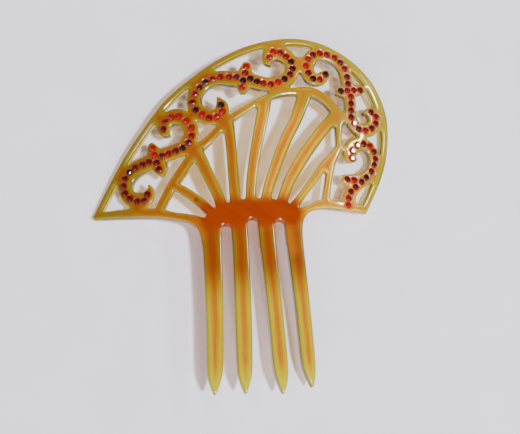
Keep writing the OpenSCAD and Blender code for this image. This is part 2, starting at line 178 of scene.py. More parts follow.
TAIL = [
    [[-33.3, 26.9, 2], [-38.5, 25.5, 1], [-40.8, 24.1, 1], [-42.6, 21.9, 1], [-43.2, 19.2, 1],
        [-42.7, 16.3, 1], [-41, 14, 1], [-38.4, 12.6, 1], [-35.8, 12.4, 1], [-34.5, 14.7, 0]],
    [[0.6, 55.8, 2], [-5.3, 56.5, 2], [-10.8, 54.9, 1], [-13.1, 53.1, 1], [-15.1, 50.8, 1],
        [-16.2, 47.6, 1], [-15.1, 44.6, 2], [-10.4, 41, 1], [-7.7, 41.2, 1], [-5.5, 42.9, 1],
        [-5.8, 45.5, 0]],
    [[42.9, 47.4, 1], [42.7, 44.8, 2], [42.4, 39.6, 1], [43.3, 37.2, 1], [45, 35.2, 1],
        [47.7, 34.7, 1], [50.4, 35.7, 1], [52.3, 37.6, 1], [52.7, 40.2, 1], [50.7, 41.8, 0]],
    [[41.9, 13.4, 1], [39.8, 11.6, 1], [38.7, 9.2, 1], [38.4, 6.6, 0]]]
STONES = {"head": HEAD, "bar": BAR, "tail": TAIL}
TONES = {
    "head": ["drbbbbrdkdrd", "bbrrkkdkbrrkk", "krkdbbdrrrdrdd", "rrrdrddddkd"],
    "bar": ["bbdd", "brkb", "krrd", "dr"],
    "tail": ["dddkddddddd", "drrrkdrdkbrbbk", "rdddrdrddrd", "ddrb"]}
TONE = {"b": 1.0, "r": 0.72, "d": 0.42, "k": 0.08}

# ---- curves ----


def row_at(rows, i):
    """Row i, or the nearest end row where there is none."""
    return np.array(rows[max(0, min(len(rows) - 1, i))], float)


def on_line(rows, i, t):
    """Place on the smooth curve through the rows, at share t of the way from row i to the next."""
    a, b, c, d = (row_at(rows, i + k) for k in (-1, 0, 1, 2))
    square, cube = 2 * a - 5 * b + 4 * c - d, 3 * b - a - 3 * c + d
    return 0.5 * (2 * b + (c - a) * t + square * t * t + cube * t ** 3)


def smooth(rows, n):
    """The smooth curve through the rows, with n steps between two of them."""
    line = [on_line(rows, i, k / n) for i in range(len(rows) - 1) for k in range(n)]
    return np.array(line + [row_at(rows, len(rows) - 1)])


def band(rows, n=7):
    """Outline of a band that follows rows of [u, v, half width]."""
    line = smooth(rows, n)
    ahead = np.vstack([line[1:, :2], line[-1:, :2]]) - np.vstack([line[:1, :2], line[:-1, :2]])
    side = np.stack([-ahead[:, 1], ahead[:, 0]], 1) / np.linalg.norm(ahead, axis=1)[:, None]
    return np.vstack([line[:, :2] + side * line[:, 2:], (line[:, :2] - side * line[:, 2:])[::-1]])


def ring(at, r, n=48):
    """Circle of n points."""
    a = np.linspace(0, 2 * math.pi, n, endpoint=False)
    return np.stack([at[0] + r * np.cos(a), at[1] + r * np.sin(a)], 1)


def stone_places(row):
    """Centres of a row's stones, evenly spaced between its points."""
    places = [on_line(row, i, k / row[i][2])[:2] for i in range(len(row) - 1) for k in range(row[i][2])]
    return places + [row_at(row, len(row) - 1)[:2]]


# ---- the bend ----


def across(u, v):
    """Distances of flat points across the bend and along its axis."""
    u = u - CROWN_U
    return u * math.cos(LEAN) - v * math.sin(LEAN), u * math.sin(LEAN) + v * math.cos(LEAN)


def above(u, v):
    """Flat points after the bend, as seen from above."""
    s, t = across(u, v)
    s = R * np.sin(s / R)
    return s * math.cos(LEAN) + t * math.sin(LEAN), -s * math.sin(LEAN) + t * math.cos(LEAN)


rim_x, rim_y = above(*band(RIM, 2).T)
tip_y = min(above(u, v - half)[1] for u, v, half in (tooth[-1] for tooth in TEETH))
X_MID, Y_MID = (rim_x.min() + rim_x.max()) / 2, (rim_y.max() + tip_y) / 2
REACH = abs(rim_x * math.cos(LEAN) - rim_y * math.sin(LEAN)).max()
AXIS_Z = -math.sqrt((R - T) ** 2 - REACH ** 2)


def bent(u, v, h):
    """Place in the part's frame, in metres, of flat points at height h above the outer face."""
    u, v, h = np.asarray(u, float), np.asarray(v, float), np.asarray(h, float)
    s, t = across(u, v)
    a, z = (R + h) * np.sin(s / R), (R + h) * np.cos(s / R) + AXIS_Z
    x, y = a * math.cos(LEAN) + t * math.sin(LEAN), -a * math.sin(LEAN) + t * math.cos(LEAN)
    return np.stack([x - X_MID, y - Y_MID, z], -1) * MM


# ---- the pierced region as a field of distances to its edge ----

BANDS = [RIM, ARCH] + BOTTOM_BARS + SPOKES + SCROLLS + CROSS_BARS + WEBS + TEETH
SOLIDS = [band(b) for b in BANDS]
HUB = np.vstack([np.array(HUB_TOP, float), smooth(RIGHT_SHOULDER, 6), smooth(LEFT_SHOULDER, 6)])
CUTS = [ring(s[0], s[0][2]) for s in SLOTS] + [band(s, 1) for s in SLOTS]


def within(points, polygon):
    """True for the points that the polygon winds around."""
    out = np.zeros(len(points), bool)
    lo, hi = polygon.min(0), polygon.max(0)
    near = np.nonzero(((points >= lo) & (points <= hi)).all(1))[0]
    p = points[near]
    turns = np.zeros(len(p), int)
    for a, b in zip(polygon, np.roll(polygon, -1, axis=0)):
        if a[1] == b[1]:
            continue
        side = (b[0] - a[0]) * (p[:, 1] - a[1]) - (p[:, 0] - a[0]) * (b[1] - a[1])
        turns += (a[1] <= p[:, 1]) & (p[:, 1] < b[1]) & (side > 0)
        turns -= (b[1] <= p[:, 1]) & (p[:, 1] < a[1]) & (side < 0)
    out[near] = turns != 0
    return out


def in_sheet(points):
    """True for the points on the sheet."""
    hub = within(points, HUB)
    for c in CUTS:
        hub &= ~within(points, c)
    for s in SOLIDS:
        hub |= within(points, s)
    return hub


def edge_points(gap=0.05):
    """Points on the sheet's outline, and none on the buried edges of its bands."""
    found = []
    for poly in SOLIDS + [HUB] + CUTS:
        a, b = poly, np.roll(poly, -1, axis=0)
        length = np.linalg.norm(b - a, axis=1)
        n = np.maximum(1, np.ceil(length / gap)).astype(int)
        i = np.repeat(np.arange(len(a)), n)
        t = (np.concatenate([np.arange(k) for k in n]) + 0.5) / n[i]
        p = a[i] + (b - a)[i] * t[:, None]
        d = (b - a)[i] / np.maximum(length[i], 1e-9)[:, None] * 0.01
        side = np.stack([-d[:, 1], d[:, 0]], 1)
        found.append(p[in_sheet(p + side) != in_sheet(p - side)])
    return np.vstack(found)


STEP = 0.2                                          # pitch of the grid that holds the field
GU, GV = np.arange(-59, 61.01, STEP), np.arange(-62.6, 73.01, STEP)
GRID = np.stack(np.meshgrid(GU, GV), -1).reshape(-1, 2)
SHAPE = (len(GV), len(GU))


def spread(mask, cells):
    """The mask, wider by a number of cells."""
    for _ in range(cells):
        wide = mask.copy()
        wide[1:] |= mask[:-1]
        wide[:-1] |= mask[1:]
        wide[:, 1:] |= mask[:, :-1]
        wide[:, :-1] |= mask[:, 1:]
        mask = wide
    return mask


def far_from(points, where):
    """Distance of the marked grid points to the nearest of the points, and 3 elsewhere."""
    tree = kdtree.KDTree(len(points))
    for i, p in enumerate(points):
        tree.insert((p[0], p[1], 0), i)
    tree.balance()
    out = np.full(SHAPE, 3.0)
    out[where] = [tree.find((x, y, 0))[2] for x, y in GRID[where.ravel()]]
    return out


def contour(field, level):
    """Closed lines where the field has the level, with the higher side on their left."""
    g = field - level
    g = np.where(g == 0, 1e-9, g)
    q = g > 0
    case = q[:-1, :-1] * 1 + q[:-1, 1:] * 2 + q[1:, 1:] * 4 + q[1:, :-1] * 8
    ways = {1: "BL", 2: "RB", 4: "TR", 8: "LT", 3: "RL", 6: "TB", 12: "LR", 9: "BT",
        14: "LB", 13: "BR", 11: "RT", 7: "TL", 5: "BLTR", 10: "RBLT"}
    nxt = {}
    for c, way in ways.items():
        for j, i in zip(*np.nonzero(case == c)):
            edges = {"B": (j, i, 0), "T": (j + 1, i, 0), "L": (j, i, 1), "R": (j, i + 1, 1)}
            for k in range(0, len(way), 2):
                nxt[edges[way[k]]] = edges[way[k + 1]]
    loops = []
    while nxt:
        start = at = next(iter(nxt))
        line = []
        while at in nxt:
            line.append(at)
            at = nxt.pop(at)
        if at != start:
            continue
        e = np.array(line)
        j2, i2 = e[:, 0] + (e[:, 2] == 1), e[:, 1] + (e[:, 2] == 0)
        a, b = g[e[:, 0], e[:, 1]], g[j2, i2]
        t = a / (a - b)
        cut_u = GU[e[:, 1]] + (i2 - e[:, 1]) * t * STEP
        cut_v = GV[e[:, 0]] + (j2 - e[:, 0]) * t * STEP
        loops.append(np.stack([cut_u, cut_v], 1))
    return loops


def dense(loops):
    """All points of the loops, with three more between two neighbours."""
    out = []
    for loop in loops:
        ahead = np.roll(loop, -1, axis=0)
        out += [loop + (ahead - loop) * k / 4 for k in range(4)]
    return np.vstack(out)


FILLET, EASE = 0.5, 0.3                             # rounding of inner and outer corners
inside = in_sheet(GRID).reshape(SHAPE)
close = spread(inside, 8)
field = far_from(edge_points(), close) * np.where(inside, 1, -1)
inside = field > -FILLET
field = far_from(dense(contour(field, -FILLET)), close) * np.where(inside, 1, -1) - FILLET
inside = field > EASE
FIELD = far_from(dense(contour(field, EASE)), close) * np.where(inside, 1, -1) + EASE


def read(f, points):
    """A field's value between the points of the grid."""
    x = np.clip((points[:, 0] - GU[0]) / STEP, 0, SHAPE[1] - 1.001)
    y = np.clip((points[:, 1] - GV[0]) / STEP, 0, SHAPE[0] - 1.001)
    i, j = x.astype(int), y.astype(int)
    x, y = x - i, y - j
    return (f[j, i] * (1 - x) + f[j, i + 1] * x) * (1 - y) + (f[j + 1, i] * (1 - x) + f[j + 1, i + 1] * x) * y


def inset_at(points):
    """Distance from the sheet's edge."""
    return read(FIELD, points)


HALF = FIELD.copy()                                 # about half the width of the bar around each point
for _ in range(10):
    wide = HALF.copy()
    for a, b in ((slice(1, None), slice(None, -1)), (slice(None, -1), slice(1, None))):
        wide[a] = np.maximum(wide[a], HALF[b])
        wide[:, a] = np.maximum(wide[:, a], HALF[:, b])
    HALF = wide
for _ in range(6):
    around = HALF[:-2, 1:-1] + HALF[2:, 1:-1] + HALF[1:-1, :-2] + HALF[1:-1, 2:]
    HALF[1:-1, 1:-1] = (HALF[1:-1, 1:-1] * 2 + around) / 6


def thin_out(loop, most=0.5, slack=0.006):
    """Drops the points of a fine line that a straight stretch doesn't need."""
    keep, i, n = [0], 0, len(loop)
    while i < n - 1:
        j = i + 1
        while j + 1 < n:
            a, b = loop[i], loop[j + 1]
            d = b - a
            long = math.hypot(*d)
            m = loop[i + 1 : j + 1] - a
            if long > most or abs(m[:, 0] * d[1] - m[:, 1] * d[0]).max() / max(long, 1e-9) > slack:
                break
            j += 1
        keep.append(j)
        i = j
    return loop[keep]


# ---- the sheet's mesh ----

BEVEL, DROP = 1.0, 0.7                              # rounded edge of the face: width and depth
BACK_BEVEL, BACK_DROP = 0.6, 0.4                    # the same on the back
FACE_GAP, BACK_GAP = 0.7, 0.8                       # distance between the inner points of each side
STONE_R, TABLE_R, POINT_R, GLUE_R, WIDEST_SEAT = 1.2, 0.69, 0.25, 0.7, 1.27
STAR_R, STAR_H, RIM_H = 0.985, 0.24, 0.03          # where the star facets end, top of the straight rim
CROWN_H, GIRDLE_H, BACK_H, FOIL_T, GLUE_H = 0.5, 0.3, 1.1, 0.1, 0.3
SEAT_N, SEAT_PLAY = 24, 0.02                        # points round a seat, its play below the cement
LIP_IN, WALL_IN, WALL_R, WALL_LOW = 0.035, 0.04, 1.215, -0.4        # the seat's lip and the wall below it
GLUE_TOP = -GIRDLE_H - BACK_H - FOIL_T - SEAT_PLAY
SEAT_LOW = GLUE_TOP - GLUE_H
SEATS = np.array([p for rows in STONES.values() for r in rows for p in stone_places(r)])
apart = np.linalg.norm(SEATS[:, None] - SEATS[None], axis=2) + np.eye(len(SEATS)) * 9
SEAT_R = np.minimum(WIDEST_SEAT, np.minimum(apart.min(1) / 2 - 0.02, inset_at(SEATS) - 0.05))


def to_seat(points):
    """Distance to the nearest stone's centre, and which stone it is."""
    d = np.full(len(points), 99.0)
    who = np.zeros(len(points), int)
    for k in range(0, len(points), 4000):
        m = np.linalg.norm(points[k : k + 4000, None] - SEATS[None], axis=2)
        d[k : k + 4000], who[k : k + 4000] = m.min(1), m.argmin(1)
    return d, who


def off_seats(points, margin):
    """True for the points that are outside the stones' seats by a margin."""
    near, who = to_seat(points)
    return near > SEAT_R[who] + margin


def ease_in(x, lo, hi):
    """Rises smoothly from 0 at lo to 1 at hi."""
    t = np.clip((x - lo) / (hi - lo), 0, 1)
    return t * t * (3 - 2 * t)


def rounding(d, width, deep):
    """Drop of a rounded edge at distance d from it."""
    t = np.clip(1 - d / width, 0, 1)
    return deep * (1 - np.sqrt(np.maximum(0, 1 - t * t)))


def face_height(points, d):
    """Height of the decorated face, whose edge is rounded less beside a stone."""
    flat = 0.3 + 0.7 * ease_in(to_seat(points)[0], 1.2, 2.3)
    return -rounding(d, BEVEL, DROP) * flat


def back_height(d):
    """Height of the back."""
    return -T + rounding(d, BACK_BEVEL, BACK_DROP)


def hexes(gap, least):
    """Evenly spread points that are at least so far from the edge."""
    us = np.arange(GU[0], GU[-1], gap)
    vs = np.arange(GV[0], GV[-1], gap * 0.866)
    p = np.stack(np.meshgrid(us, vs), -1)
    p[1::2, :, 0] += gap / 2
    p = p.reshape(-1, 2)
    return p[inset_at(p) > least]


class Net:
    """Points and edges for a triangulation, with the distance of each point from the sheet's edge."""

    def __init__(self):
        self.points, self.inset, self.edges, self.walls, self.count = [], [], [], set(), 0

    def add(self, points, inset):
        self.points.append(points)
        self.inset.append(np.broadcast_to(inset, len(points)))
        self.count += len(points)

    def add_ring(self, loop, inset, keep=None, wall=False):
        """Adds the kept points of a loop, joined where they are neighbours. A wall bounds the sheet."""
        keep = np.ones(len(loop), bool) if keep is None else keep
        index = self.count + np.cumsum(keep) - 1
        for i in range(len(loop)):
            j = (i + 1) % len(loop)
            if keep[i] and keep[j]:
                if wall:
                    self.walls.add(len(self.edges))
                self.edges.append((index[i], index[j]))
        self.add(loop[keep], inset)


def grouped(tris, walls):
    """Group number of each triangle. Groups meet only at walls."""
    by_edge = {}
    for k, t in enumerate(tris):
        for i in range(3):
            by_edge.setdefault(frozenset((t[i], t[i - 1])), []).append(k)
    group, groups = [-1] * len(tris), 0
    for k in range(len(tris)):
        if group[k] >= 0:
            continue
        stack, group[k] = [k], groups
        while stack:
            t = tris[stack.pop()]
            for i in range(3):
                e = frozenset((t[i], t[i - 1]))
                for m in () if e in walls else by_edge[e]:
                    if group[m] < 0:
                        group[m] = groups
                        stack.append(m)
        groups += 1
    return np.array(group)


def triangles(outline, levels, gap, seats):
    """Triangulates the sheet's region. Returns its points, their distance to the edge, the place of the
    added points among them, the triangles and, for each seat, the points around it. The outline's
    points come first and stay in order."""
    net, rings = Net(), []
    for loop in outline:
        net.add_ring(loop, 0.0, wall=True)
    for level in levels:
        for loop in contour(FIELD, level):
            if len(loop) < 6:
                continue
            loop = thin_out(loop)
            net.add_ring(loop, level, off_seats(loop, 0.1) if seats else None)
    if seats:
        for at, r in zip(SEATS, SEAT_R):
            c = ring(at, r, SEAT_N)
            rings.append(range(net.count, net.count + SEAT_N))
            net.add_ring(c, inset_at(c), wall=True)
    inner = hexes(gap, levels[-1] + 0.3)
    if seats:
        inner = inner[off_seats(inner, 0.3)]
    net.add(inner, inset_at(inner))
    points, inset = np.vstack(net.points), np.concatenate(net.inset)
    got = delaunay_2d_cdt([Vector(x) for x in points], net.edges, [], 0, 1e-7, True)
    out = np.array([tuple(x) for x in got[0]])
    place = np.full(len(points), -1)
    for i, origins in enumerate(got[3]):
        place[origins] = i
    depth = inset_at(out)
    depth[place] = inset
    walls = {frozenset(e) for e, origins in zip(got[1], got[4]) if any(k in net.walls for k in origins)}
    tri, group = np.array(got[2]), grouped(got[2], walls)
    a, b, c = out[tri[:, 0]], out[tri[:, 1]], out[tri[:, 2]]
    mid = (a + b + c) / 3
    area = abs((b[:, 0] - a[:, 0]) * (c[:, 1] - a[:, 1]) - (b[:, 1] - a[:, 1]) * (c[:, 0] - a[:, 0]))
    vote = area * np.where(inset_at(mid) > 0, 1, -1)
    if seats:
        near, who = to_seat(mid)
        vote = np.where(near < SEAT_R[who] * 0.98, -area * 9, vote)
    keep = (np.bincount(group, vote) > 0) & (np.bincount(group, area) > 1)       # no slivers
    return out, depth, place, tri[keep[group]], rings


def mesh_object(name, verts, faces, soft=True, attributes=None):
    """A new object with a value at each point for every named attribute."""
    mesh = bpy.data.meshes.new(name)
    mesh.from_pydata([tuple(v) for v in verts], [], [tuple(int(i) for i in f) for f in faces])
    mesh.validate()
    for key, values in (attributes or {}).items():
        a = mesh.attributes.new(key, "FLOAT", "POINT")
        a.data.foreach_set("value", np.asarray(values, np.float32))
    mesh.polygons.foreach_set("use_smooth", np.full(len(mesh.polygons), soft))
    mesh.update()
    ob = bpy.data.objects.new(name, mesh)
    bpy.context.scene.collection.objects.link(ob)
    return ob


def sheet_mesh():
    """The sheet's points as flat places and in space, their distance from the edge, a mark on the
    sawn walls, and the faces."""
    outline = [thin_out(loop) for loop in contour(FIELD, 0.0) if len(loop) > 12]
    quarter = [math.radians(a) for a in (14, 28, 42, 57, 73, 90)]
    top, top_d, top_at, top_tri, rings = triangles(
        outline, [BEVEL * (1 - math.cos(a)) for a in quarter], FACE_GAP, True)
    low, low_d, low_at, low_tri, _ = triangles(
        outline, [BACK_BEVEL * (1 - math.cos(a)) for a in quarter[1::2]], BACK_GAP, False)
    flat, height, inset, sawn, faces = [], [], [], [], []

    def add(points, heights, d, wall=0.0):
        first = sum(map(len, flat))
        flat.append(points)
        height.append(np.broadcast_to(heights, len(points)))
        inset.append(np.broadcast_to(d, len(points)))
        sawn.append(np.full(len(points), wall))
        return first

    def join(rows):
        for p, q in zip(rows, rows[1:]):
            faces.extend(np.stack([p, q, np.roll(q, -1), np.roll(p, -1)], 1).tolist())

    top_h = face_height(top, top_d)
    add(top, top_h, top_d)
    faces += top_tri.tolist()
    base = add(low, back_height(low_d), low_d)
    faces += (low_tri[:, ::-1] + base).tolist()
    k = 0
    for loop in outline:                            # the sawn walls
        n = len(loop)
        hi, lo = top_h[top_at[k : k + n]], BACK_DROP - T
        between = [add(loop, hi + (lo - hi) * t, 0.0, 1.0) + np.arange(n) for t in (0.33, 0.67)]
        join([top_at[k : k + n]] + between + [low_at[k : k + n] + base])
        k += n
    for at, r, ids in zip(SEATS, SEAT_R, rings):    # the seats of the stones
        edge = top_at[list(ids)]
        d = float(inset_at(at[None])[0])
        lip = np.minimum(-0.08, top_h[edge] - 0.04)
        steps = ((r - LIP_IN, lip), (min(r - WALL_IN, WALL_R), WALL_LOW), (GLUE_R, GLUE_TOP),
            (GLUE_R, SEAT_LOW), (GLUE_R / 2, SEAT_LOW))
        rows = [edge] + [add(ring(at, wide, SEAT_N), h, d) + np.arange(SEAT_N) for wide, h in steps]
        join([row[::-1] for row in rows])
        faces.append(rows[-1].tolist())
    flat, height, inset, sawn = map(np.concatenate, (flat, height, inset, sawn))
    return flat, bent(*flat.T, height), inset, sawn, faces


def segment(u, v, a, b):
    """Distance of points to a straight segment."""
    ab = np.subtract(b, a)
    t = np.clip(((u - a[0]) * ab[0] + (v - a[1]) * ab[1]) / (ab @ ab), 0, 1)
    return np.hypot(u - a[0] - t * ab[0], v - a[1] - t * ab[1])


# ---- materials ----


class Nodes:
    """A material's node tree."""

    def __init__(self, name):
        self.mat = bpy.data.materials.new(name)
        self.mat.use_nodes = True
        self.nt = self.mat.node_tree
        self.nt.nodes.clear()
        self.out = self.nt.nodes.new("ShaderNodeOutputMaterial")

    def node(self, kind, inputs=None, **settings):
        """A new node. An input is given by its name or place, as a value or as another node's output."""
        n = self.nt.nodes.new("ShaderNode" + kind)
        for k, v in settings.items():
            setattr(n, k, v)
        for k, v in (inputs or {}).items():
            if hasattr(v, "is_output"):
                self.nt.links.new(v, n.inputs[k])
            else:
                n.inputs[k].default_value = v
        return n

    def attribute(self, name):
        return self.node("Attribute", attribute_name=name).outputs["Fac"]

    def math(self, op, a, b=0.0, clamp=False):
        return self.node("Math", {0: a, 1: b}, operation=op, use_clamp=clamp).outputs[0]

    def mix(self, fac, a, b, blend="MIX"):
        n = self.node("Mix", {0: fac, 6: a, 7: b}, data_type="RGBA", blend_type=blend)
        return n.outputs[2]

    def ramp(self, fac, *stops, interpolation="EASE"):
        """Colours along fac. Each stop is its place, red, green and blue."""
        n = self.node("ValToRGB", {0: fac})
        cr = n.color_ramp
        cr.interpolation = interpolation
        while len(cr.elements) < len(stops):
            cr.elements.new(0.5)
        for e, (at, *colour) in zip(cr.elements, stops):
            e.position = at
            e.color = (*colour, 1)
        return n.outputs[0]

    def noise(self, scale, detail=3.0, stretch=(1, 1, 1), rough=0.5, turn=0.0):
        """Noise fixed to the object, with so many waves a metre."""
        at = self.node("TexCoord").outputs["Object"]
        if turn:
            at = self.node("VectorRotate", {"Vector": at, "Angle": turn}, rotation_type="Z_AXIS").outputs[0]
        at = self.node("Mapping", {"Vector": at, "Scale": tuple(s * scale for s in stretch)}).outputs[0]
        inputs = {"Vector": at, "Scale": 1.0, "Detail": detail, "Roughness": rough}
        return self.node("TexNoise", inputs).outputs[0]

    def finish(self, shader):
        self.nt.links.new(shader.outputs[0], self.out.inputs[0])
        return self.mat


# Celluloid from the edge of a bar to its middle: place, red, green, blue. The right-hand ones are brighter,
# partly the celluloid's own colour and partly painted sheen from the light at the right.
SHADES = {
    "left": ((0.0, 0.12, 0.085, 0.010), (0.1, 0.25, 0.21, 0.020), (0.3, 0.27, 0.19, 0.010),
        (0.62, 0.28, 0.14, 0.005), (1.0, 0.29, 0.075, 0.003)),
    "right": ((0.0, 0.13, 0.085, 0.006), (0.1, 0.33, 0.27, 0.010), (0.3, 0.38, 0.27, 0.003),
        (0.65, 0.44, 0.20, 0.002), (1.0, 0.50, 0.150, 0.002)),
    "right_rim": ((0.0, 0.14, 0.095, 0.004), (0.12, 0.36, 0.31, 0.008), (0.4, 0.42, 0.33, 0.002),
        (0.9, 0.38, 0.23, 0.002)),
    "left_fan": ((0.0, 0.15, 0.085, 0.008), (0.1, 0.36, 0.27, 0.012), (0.3, 0.38, 0.20, 0.005),
        (0.6, 0.36, 0.11, 0.003), (1.0, 0.34, 0.085, 0.003)),
    "right_fan_and_sheen": ((0.0, 0.20, 0.115, 0.008), (0.1, 0.50, 0.38, 0.010), (0.32, 0.74, 0.46, 0.006),
        (0.6, 0.62, 0.24, 0.003), (1.0, 0.52, 0.155, 0.003)),
    "root": ((0.0, 0.12, 0.055, 0.004), (0.1, 0.23, 0.135, 0.006), (0.3, 0.27, 0.13, 0.003),
        (0.62, 0.27, 0.078, 0.002), (0.9, 0.26, 0.048, 0.002)),
    "lower_tooth": ((0.0, 0.24, 0.17, 0.010), (0.1, 0.42, 0.36, 0.008), (0.45, 0.54, 0.42, 0.001),
        (0.72, 0.53, 0.27, 0.001), (0.92, 0.50, 0.165, 0.001)),
    "tip": ((0.0, 0.30, 0.25, 0.02), (0.12, 0.52, 0.48, 0.01), (0.5, 0.58, 0.54, 0.002),
        (1.0, 0.55, 0.40, 0.002))}


def celluloid():
    """Amber celluloid: clear yellow at thin edges, orange in the middle of each bar, red-brown at the hub,
    with painted shade on the walls and painted sheen on the right.
    """
    m = Nodes("celluloid")
    along = m.math("MULTIPLY", m.attribute("length"), 0.09)
    grain = m.node("CombineXYZ", {0: m.attribute("grain"), 1: along}).outputs[0]
    streak = m.node("TexNoise", {"Vector": grain, "Scale": 0.9, "Detail": 4.0, "Roughness": 0.55}).outputs[0]
    waver = m.math("ADD", m.math("MULTIPLY", m.math("SUBTRACT", streak, 0.5), 0.55),
        m.math("MULTIPLY", m.math("SUBTRACT", m.noise(70, 4), 0.5), 0.35))
    core = m.attribute("core")
    waver = m.math("MULTIPLY", waver, m.math("MULTIPLY", core, 3.0, clamp=True))     # none at the edges
    t = m.math("ADD", core, waver, clamp=True)
    shade = {name: m.ramp(t, *stops) for name, stops in SHADES.items()}
    # the fan turns brighter and more golden towards the right: partly its own colour, partly painted sheen
    fan = m.mix(m.attribute("east_sheen"), shade["left_fan"], shade["right_fan_and_sheen"])
    brushed = m.ramp(m.noise(520, 4, (1, 0.14, 1), turn=-0.95),
        (0.3, 0.275, 0.032, 0.001), (0.7, 0.325, 0.042, 0.001))
    colour = shade["left"]
    for place, other in (("right", shade["right"]), ("rim", shade["right_rim"]), ("fan", fan),
            ("tooth", shade["root"]), ("clear", shade["lower_tooth"]), ("tip", shade["tip"]),
            ("hub", brushed), ("glow", (0.50, 0.15, 0.001, 1)), ("spot", (0.09, 0.012, 0.004, 1))):
        colour = m.mix(m.attribute(place), colour, other)
    # painted shade: the walls darkened, most at the right where they face away from the light
    colour = m.mix(m.attribute("wall"), colour, (0.30, 0.20, 0.14, 1), "MULTIPLY")
    colour = m.mix(m.attribute("lit"), colour, (0.95, 0.74, 0.008, 1))
    colour = m.mix(1.0, colour, (0.88, 0.85, 0.60, 1), "MULTIPLY")
    rough = m.math("ADD", m.math("MULTIPLY", m.noise(700, 2), 0.08), 0.08)
    bump = m.node("Bump", {"Height": m.noise(160, 3), "Strength": 0.08, "Distance": 0.0004}).outputs[0]
    body = m.node("BsdfPrincipled", {"Base Color": colour, "Roughness": rough, "IOR": 1.5, "Normal": bump,
        "Transmission Weight": 0.15, "Coat Weight": 0.2, "Coat Roughness": 0.03})
    tint = m.mix(m.attribute("tooth"), (0.55, 0.45, 0.22, 1), (0.40, 0.27, 0.19, 1))
    through = m.node("BsdfTransparent", {"Color": tint})             # lets tinted light into the shadow
    is_shadow = m.node("LightPath").outputs["Is Shadow Ray"]
    return m.finish(m.node("MixShader", {0: is_shadow, 1: body.outputs[0], 2: through.outputs[0]}))


def red_glass():
    """Red glass, from almost black to bright by each stone's tone."""
    m = Nodes("red_stone")
    flash = m.math("MULTIPLY", m.math("SUBTRACT", m.noise(900, 1), 0.5), 0.25)
    colour = m.ramp(m.math("ADD", m.attribute("tone"), flash, clamp=True), (0.0, 0.014, 0.002, 0.002),
        (0.3, 0.08, 0.0005, 0.001), (0.65, 0.22, 0.0005, 0.001), (1.0, 0.42, 0.0005, 0.002),
        interpolation="LINEAR")
    return m.finish(m.node("BsdfPrincipled",
        {"Base Color": colour, "Roughness": 0.03, "IOR": 1.55, "Transmission Weight": 0.4}))


def foil_metal():
    """Slightly pink, crinkled metal."""
    m = Nodes("foil")
    colour = m.ramp(m.noise(1200, 3), (0.3, 0.52, 0.43, 0.40), (0.7, 0.76, 0.66, 0.61))
    return m.finish(m.node("BsdfPrincipled", {"Base Color": colour, "Metallic": 1.0, "Roughness": 0.22}))


def old_cement():
    """Yellowed, mottled cement."""
    m = Nodes("cement")
    colour = m.ramp(m.noise(1500, 4), (0.3, 0.42, 0.30, 0.15), (0.7, 0.60, 0.47, 0.26))
    return m.finish(m.node("BsdfPrincipled", {"Base Color": colour, "Roughness": 0.7}))


def cloth():
    """The pale ground."""
    m = Nodes("floor")
    colour = m.ramp(m.noise(40, 4), (0.3, 0.85, 0.84, 0.97), (0.7, 0.89, 0.88, 1.0))
    return m.finish(m.node("BsdfPrincipled",
        {"Base Color": colour, "Roughness": 0.9, "Specular IOR Level": 0.1}))


# ---- the comb's sheet ----


def marks(flat, inset, sawn):
    """Values at the sheet's points that say where each colour of the celluloid lies, and where light and
    shade are painted on it.
    """
    u, v = flat.T
    half = np.clip(read(HALF, flat), 0.8, 3.4)
    slope_v, slope_u = np.gradient(FIELD, STEP)
    # painted light and shade across each bar: flanks facing the light at the right and below are paler, the
    # other flanks deeper orange
    painted_flank_light = np.clip(-0.9 * read(slope_u, flat) + 0.4 * read(slope_v, flat), -1, 1)
    painted_flank_light *= np.where(painted_flank_light > 0, -0.24, -0.10) * ease_in(v, -2, 8) * ease_in(inset, 0.1, 0.6)
    near_stone = 1 - ease_in(to_seat(flat)[0], 1.5, 3.0)
    from_rim = np.linalg.norm(smooth(RIM, 8)[None, :, :2] - flat[:, None], axis=2).min(1)
    from_fan = np.hypot(u - 3, v - 4)
    from_hub = segment(u, v, (-12, 4.2), (15, 4.2))
    right = u + v * 0.1
    glow_right = 0.6 * (1 - ease_in(segment(u, v, (14.6, -4), (15.2, -9)), 0, 4.5))
    glow_left = 0.5 * (1 - ease_in(segment(u, v, (-18, 3), (-16.2, -3)), 0, 3))
    in_fan = 0.8 * (1 - ease_in(from_fan, 40, 47)) * ease_in(v, 6, 10)
    thin_bar = np.maximum(1 - ease_in(from_rim, 2.1, 2.7), in_fan)       # light comes through the walls here
    return {
        "core": inset / (1.0 + 0.65 * half) + 0.45 * near_stone + painted_flank_light,
        "rim": (1 - ease_in(from_rim, 1.2, 2.4)) * ease_in(u, 15, 42) * ease_in(v, 4, 14),
        # painted shade on the walls, darker towards the right where they face away from the light, none where
        # light comes through
        "wall": sawn * (0.45 + 0.55 * ease_in(right, -10, 30)) * (1 - thin_bar),
        "lit": 0.9 * sawn * thin_bar,
        "glow": np.maximum(glow_right, glow_left),
        "hub": (1 - ease_in(from_hub, 3.6, 8.5)) * ease_in(v, -7, 1.5),
        "tooth": 1 - ease_in(v, -4, 5),
        "clear": 1 - ease_in(v, -30, -13),
        # the teeth turn lighter and yellower from their middle towards the tips
        "tip": 1 - ease_in(v, -57, -46),
        # the right side brighter gold: partly the celluloid's own colour, partly painted sheen from the light
        # at the right
        "right": ease_in(right, -8, 30),
        "fan": 1 - ease_in(from_fan, 37, 47),
        # where the fan's brighter colour and painted sheen lie
        "east_sheen": ease_in(u / (np.maximum(v, 0) + 20), -0.04, 0.22),
        "grain": u / (1 + np.maximum(v, 0) / 22),
        "length": v,
        "spot": (1 - ease_in(np.hypot(u + 17, v - 10.5), 0.4, 1.3)) * 0.7,
    }


